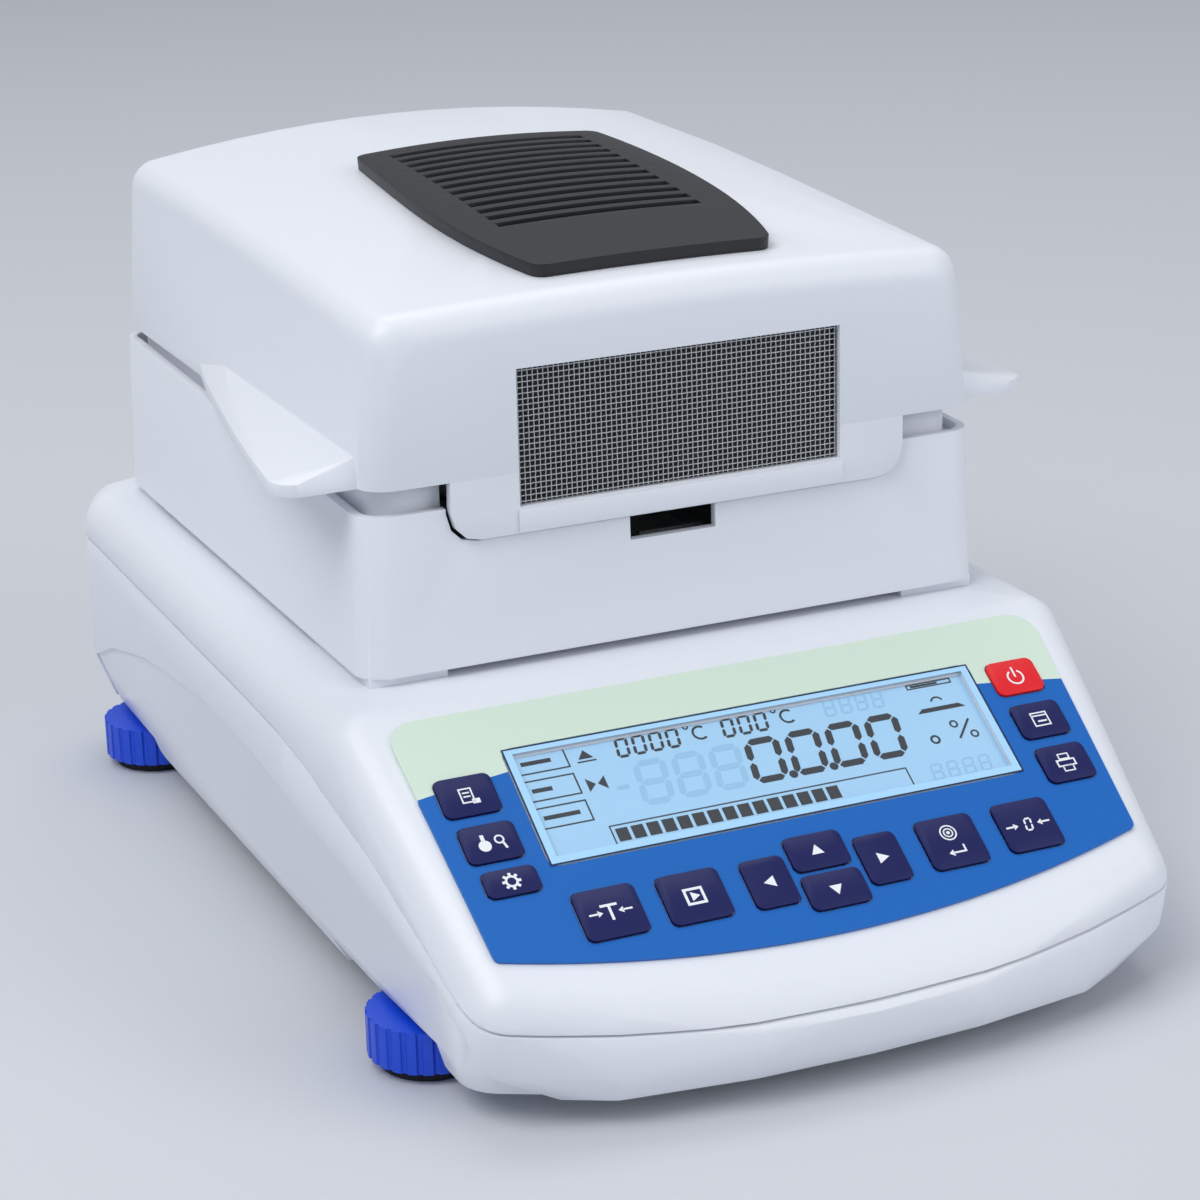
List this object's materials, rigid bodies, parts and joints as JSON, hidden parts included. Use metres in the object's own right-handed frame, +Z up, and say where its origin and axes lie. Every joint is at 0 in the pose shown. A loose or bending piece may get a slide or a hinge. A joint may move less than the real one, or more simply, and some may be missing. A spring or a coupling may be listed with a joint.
{
  "type": "moisture analyzer",
  "caption": "Bench moisture analyzer: balance base with a sloped keypad and display, heated drying chamber on top, hinged lid with a mesh window, and levelling feet.",
  "frame": {"origin": "centre of the footprint box on the bench, under the feet", "axes": "+X to the right seen from the keypad side, +Y to the rear, +Z up; the keypad faces -Y"},
  "size_m": [0.211, 0.325, 0.1911],
  "materials": {
    "housing": "satin moulded",
    "membrane": "printed film",
    "key_blue": "satin",
    "key_red": "satin",
    "display": "lit panel",
    "clear": "clear",
    "smoked": "smoked pane",
    "board": "coated board",
    "steel": "brushed",
    "aluminium": "satin",
    "dark": "moulded",
    "switch": "gloss",
    "grille": "fine texture",
    "mesh": "woven wire",
    "quartz": "clear tube",
    "ceramic": "glazed",
    "level": "liquid",
    "wheel": "ribbed",
    "rubber": "matt"
  },
  "bodies": {
    "housing": {"base_tray": "housing", "base_cover": "housing", "keypad_overlay": "membrane", "lcd_window": "clear", "lcd_module": "display", "keypad_board": "board", "dome_switches": "steel", "main_board": "board", "power_supply": "dark", "mains_inlet": "dark", "serial_ports": "steel", "usb_port": "steel", "load_cell": "aluminium", "load_cell_bracket": "aluminium", "draft_ring": "aluminium", "chamber_base": "housing", "chamber_floor": "steel", "hinge_pins": "steel", "hinge_brackets": "housing", "bubble_level": "level", "housing_screws": "steel"},
    "lid": {"lid_shell": "housing", "lid_grille": "grille", "window_glass": "smoked", "window_mesh": "mesh", "window_band": "housing", "lid_liner": "aluminium", "halogen_lamp": "quartz", "lamp_holders": "ceramic", "lamp_guard_glass": "clear", "temperature_sensor": "steel"},
    "weigh_carrier": {"pan_spindle": "steel", "pan_carrier": "steel"},
    "pan": {"sample_pan": "aluminium"},
    "handle": {"pan_handle": "steel"},
    "rocker": {"power_switch": "switch"},
    "key_program": {"key_program": "key_blue"},
    "key_setup": {"key_setup": "key_blue"},
    "key_settings": {"key_settings": "key_blue"},
    "key_menu": {"key_menu": "key_blue"},
    "key_list": {"key_list": "key_blue"},
    "key_left": {"key_left": "key_blue"},
    "key_up": {"key_up": "key_blue"},
    "key_down": {"key_down": "key_blue"},
    "key_right": {"key_right": "key_blue"},
    "key_start": {"key_start": "key_blue"},
    "key_zero": {"key_zero": "key_blue"},
    "key_power": {"key_power": "key_red"},
    "key_unit": {"key_unit": "key_blue"},
    "key_print": {"key_print": "key_blue"},
    "pad_fl": {"foot_pad_fl": "rubber"},
    "wheel_fl": {"foot_wheel_fl": "wheel"},
    "pad_fr": {"foot_pad_fr": "rubber"},
    "wheel_fr": {"foot_wheel_fr": "wheel"},
    "pad_rl": {"foot_pad_rl": "rubber"},
    "wheel_rl": {"foot_wheel_rl": "wheel"},
    "pad_rr": {"foot_pad_rr": "rubber"},
    "wheel_rr": {"foot_wheel_rr": "wheel"}
  },
  "joints": [
    {"name": "lid_hinge", "type": "hinge", "parent": "housing", "child": "lid", "pos_m": [0, 0.1512, 0.13], "axis": [-1, 0, 0], "range_deg": [0, 70]},
    {"name": "weighing", "type": "slide", "parent": "housing", "child": "weigh_carrier", "axis": [0, 0, 1], "range_m": [-0.0005, 0], "stiffness_N_per_m": 4000, "springref_m": 0.0005},
    {"name": "pan_lift", "type": "slide", "parent": "weigh_carrier", "child": "pan", "axis": [0, 0, 1], "range_m": [0, 0.012]},
    {"name": "handle_lift", "type": "slide", "parent": "housing", "child": "handle", "axis": [0, 0, 1], "range_m": [0, 0.012]},
    {"name": "power_rocker", "type": "hinge", "parent": "housing", "child": "rocker", "pos_m": [0.02, 0.1553, 0.049], "axis": [1, 0, 0], "range_deg": [-8, 8]},
    {"name": "press_program", "type": "slide", "parent": "housing", "child": "key_program", "axis": [0, 0.5476, -0.8368], "range_m": [0, 0.0004], "stiffness_N_per_m": 400, "springref_m": -0.0005},
    {"name": "press_setup", "type": "slide", "parent": "housing", "child": "key_setup", "axis": [0, 0.5476, -0.8368], "range_m": [0, 0.0004], "stiffness_N_per_m": 400, "springref_m": -0.0005},
    {"name": "press_settings", "type": "slide", "parent": "housing", "child": "key_settings", "axis": [0, 0.5476, -0.8368], "range_m": [0, 0.0004], "stiffness_N_per_m": 400, "springref_m": -0.0005},
    {"name": "press_menu", "type": "slide", "parent": "housing", "child": "key_menu", "axis": [0, 0.5476, -0.8368], "range_m": [0, 0.0004], "stiffness_N_per_m": 400, "springref_m": -0.0005},
    {"name": "press_list", "type": "slide", "parent": "housing", "child": "key_list", "axis": [0, 0.5476, -0.8368], "range_m": [0, 0.0004], "stiffness_N_per_m": 400, "springref_m": -0.0005},
    {"name": "press_left", "type": "slide", "parent": "housing", "child": "key_left", "axis": [0, 0.5476, -0.8368], "range_m": [0, 0.0004], "stiffness_N_per_m": 400, "springref_m": -0.0005},
    {"name": "press_up", "type": "slide", "parent": "housing", "child": "key_up", "axis": [0, 0.5476, -0.8368], "range_m": [0, 0.0004], "stiffness_N_per_m": 400, "springref_m": -0.0005},
    {"name": "press_down", "type": "slide", "parent": "housing", "child": "key_down", "axis": [0, 0.5476, -0.8368], "range_m": [0, 0.0004], "stiffness_N_per_m": 400, "springref_m": -0.0005},
    {"name": "press_right", "type": "slide", "parent": "housing", "child": "key_right", "axis": [0, 0.5476, -0.8368], "range_m": [0, 0.0004], "stiffness_N_per_m": 400, "springref_m": -0.0005},
    {"name": "press_start", "type": "slide", "parent": "housing", "child": "key_start", "axis": [0, 0.5476, -0.8368], "range_m": [0, 0.0004], "stiffness_N_per_m": 400, "springref_m": -0.0005},
    {"name": "press_zero", "type": "slide", "parent": "housing", "child": "key_zero", "axis": [0, 0.5476, -0.8368], "range_m": [0, 0.0004], "stiffness_N_per_m": 400, "springref_m": -0.0005},
    {"name": "press_power", "type": "slide", "parent": "housing", "child": "key_power", "axis": [0, 0.5476, -0.8368], "range_m": [0, 0.0004], "stiffness_N_per_m": 400, "springref_m": -0.0005},
    {"name": "press_unit", "type": "slide", "parent": "housing", "child": "key_unit", "axis": [0, 0.5476, -0.8368], "range_m": [0, 0.0004], "stiffness_N_per_m": 400, "springref_m": -0.0005},
    {"name": "press_print", "type": "slide", "parent": "housing", "child": "key_print", "axis": [0, 0.5476, -0.8368], "range_m": [0, 0.0004], "stiffness_N_per_m": 400, "springref_m": -0.0005},
    {"name": "foot_fl", "type": "slide", "parent": "housing", "child": "pad_fl", "axis": [0, 0, -1], "range_m": [0, 0.003]},
    {"name": "turn_fl", "type": "hinge", "parent": "pad_fl", "child": "wheel_fl", "pos_m": [-0.0897, -0.0988, 0.008], "axis": [0, 0, 1], "range_deg": [0, 1080]},
    {"name": "foot_fr", "type": "slide", "parent": "housing", "child": "pad_fr", "axis": [0, 0, -1], "range_m": [0, 0.003]},
    {"name": "turn_fr", "type": "hinge", "parent": "pad_fr", "child": "wheel_fr", "pos_m": [0.0897, -0.0988, 0.008], "axis": [0, 0, 1], "range_deg": [0, 1080]},
    {"name": "foot_rl", "type": "slide", "parent": "housing", "child": "pad_rl", "axis": [0, 0, -1], "range_m": [0, 0.003]},
    {"name": "turn_rl", "type": "hinge", "parent": "pad_rl", "child": "wheel_rl", "pos_m": [-0.0897, 0.129, 0.008], "axis": [0, 0, 1], "range_deg": [0, 1080]},
    {"name": "foot_rr", "type": "slide", "parent": "housing", "child": "pad_rr", "axis": [0, 0, -1], "range_m": [0, 0.003]},
    {"name": "turn_rr", "type": "hinge", "parent": "pad_rr", "child": "wheel_rr", "pos_m": [0.0897, 0.129, 0.008], "axis": [0, 0, 1], "range_deg": [0, 1080]}
  ],
  "couplings": [
    {"joint": "pan_lift", "follows": "handle_lift", "ratio": 1},
    {"joint": "turn_fl", "follows": "foot_fl", "rad_per_m": 6283.2},
    {"joint": "turn_fr", "follows": "foot_fr", "rad_per_m": 6283.2},
    {"joint": "turn_rl", "follows": "foot_rl", "rad_per_m": 6283.2},
    {"joint": "turn_rr", "follows": "foot_rr", "rad_per_m": 6283.2}
  ]
}
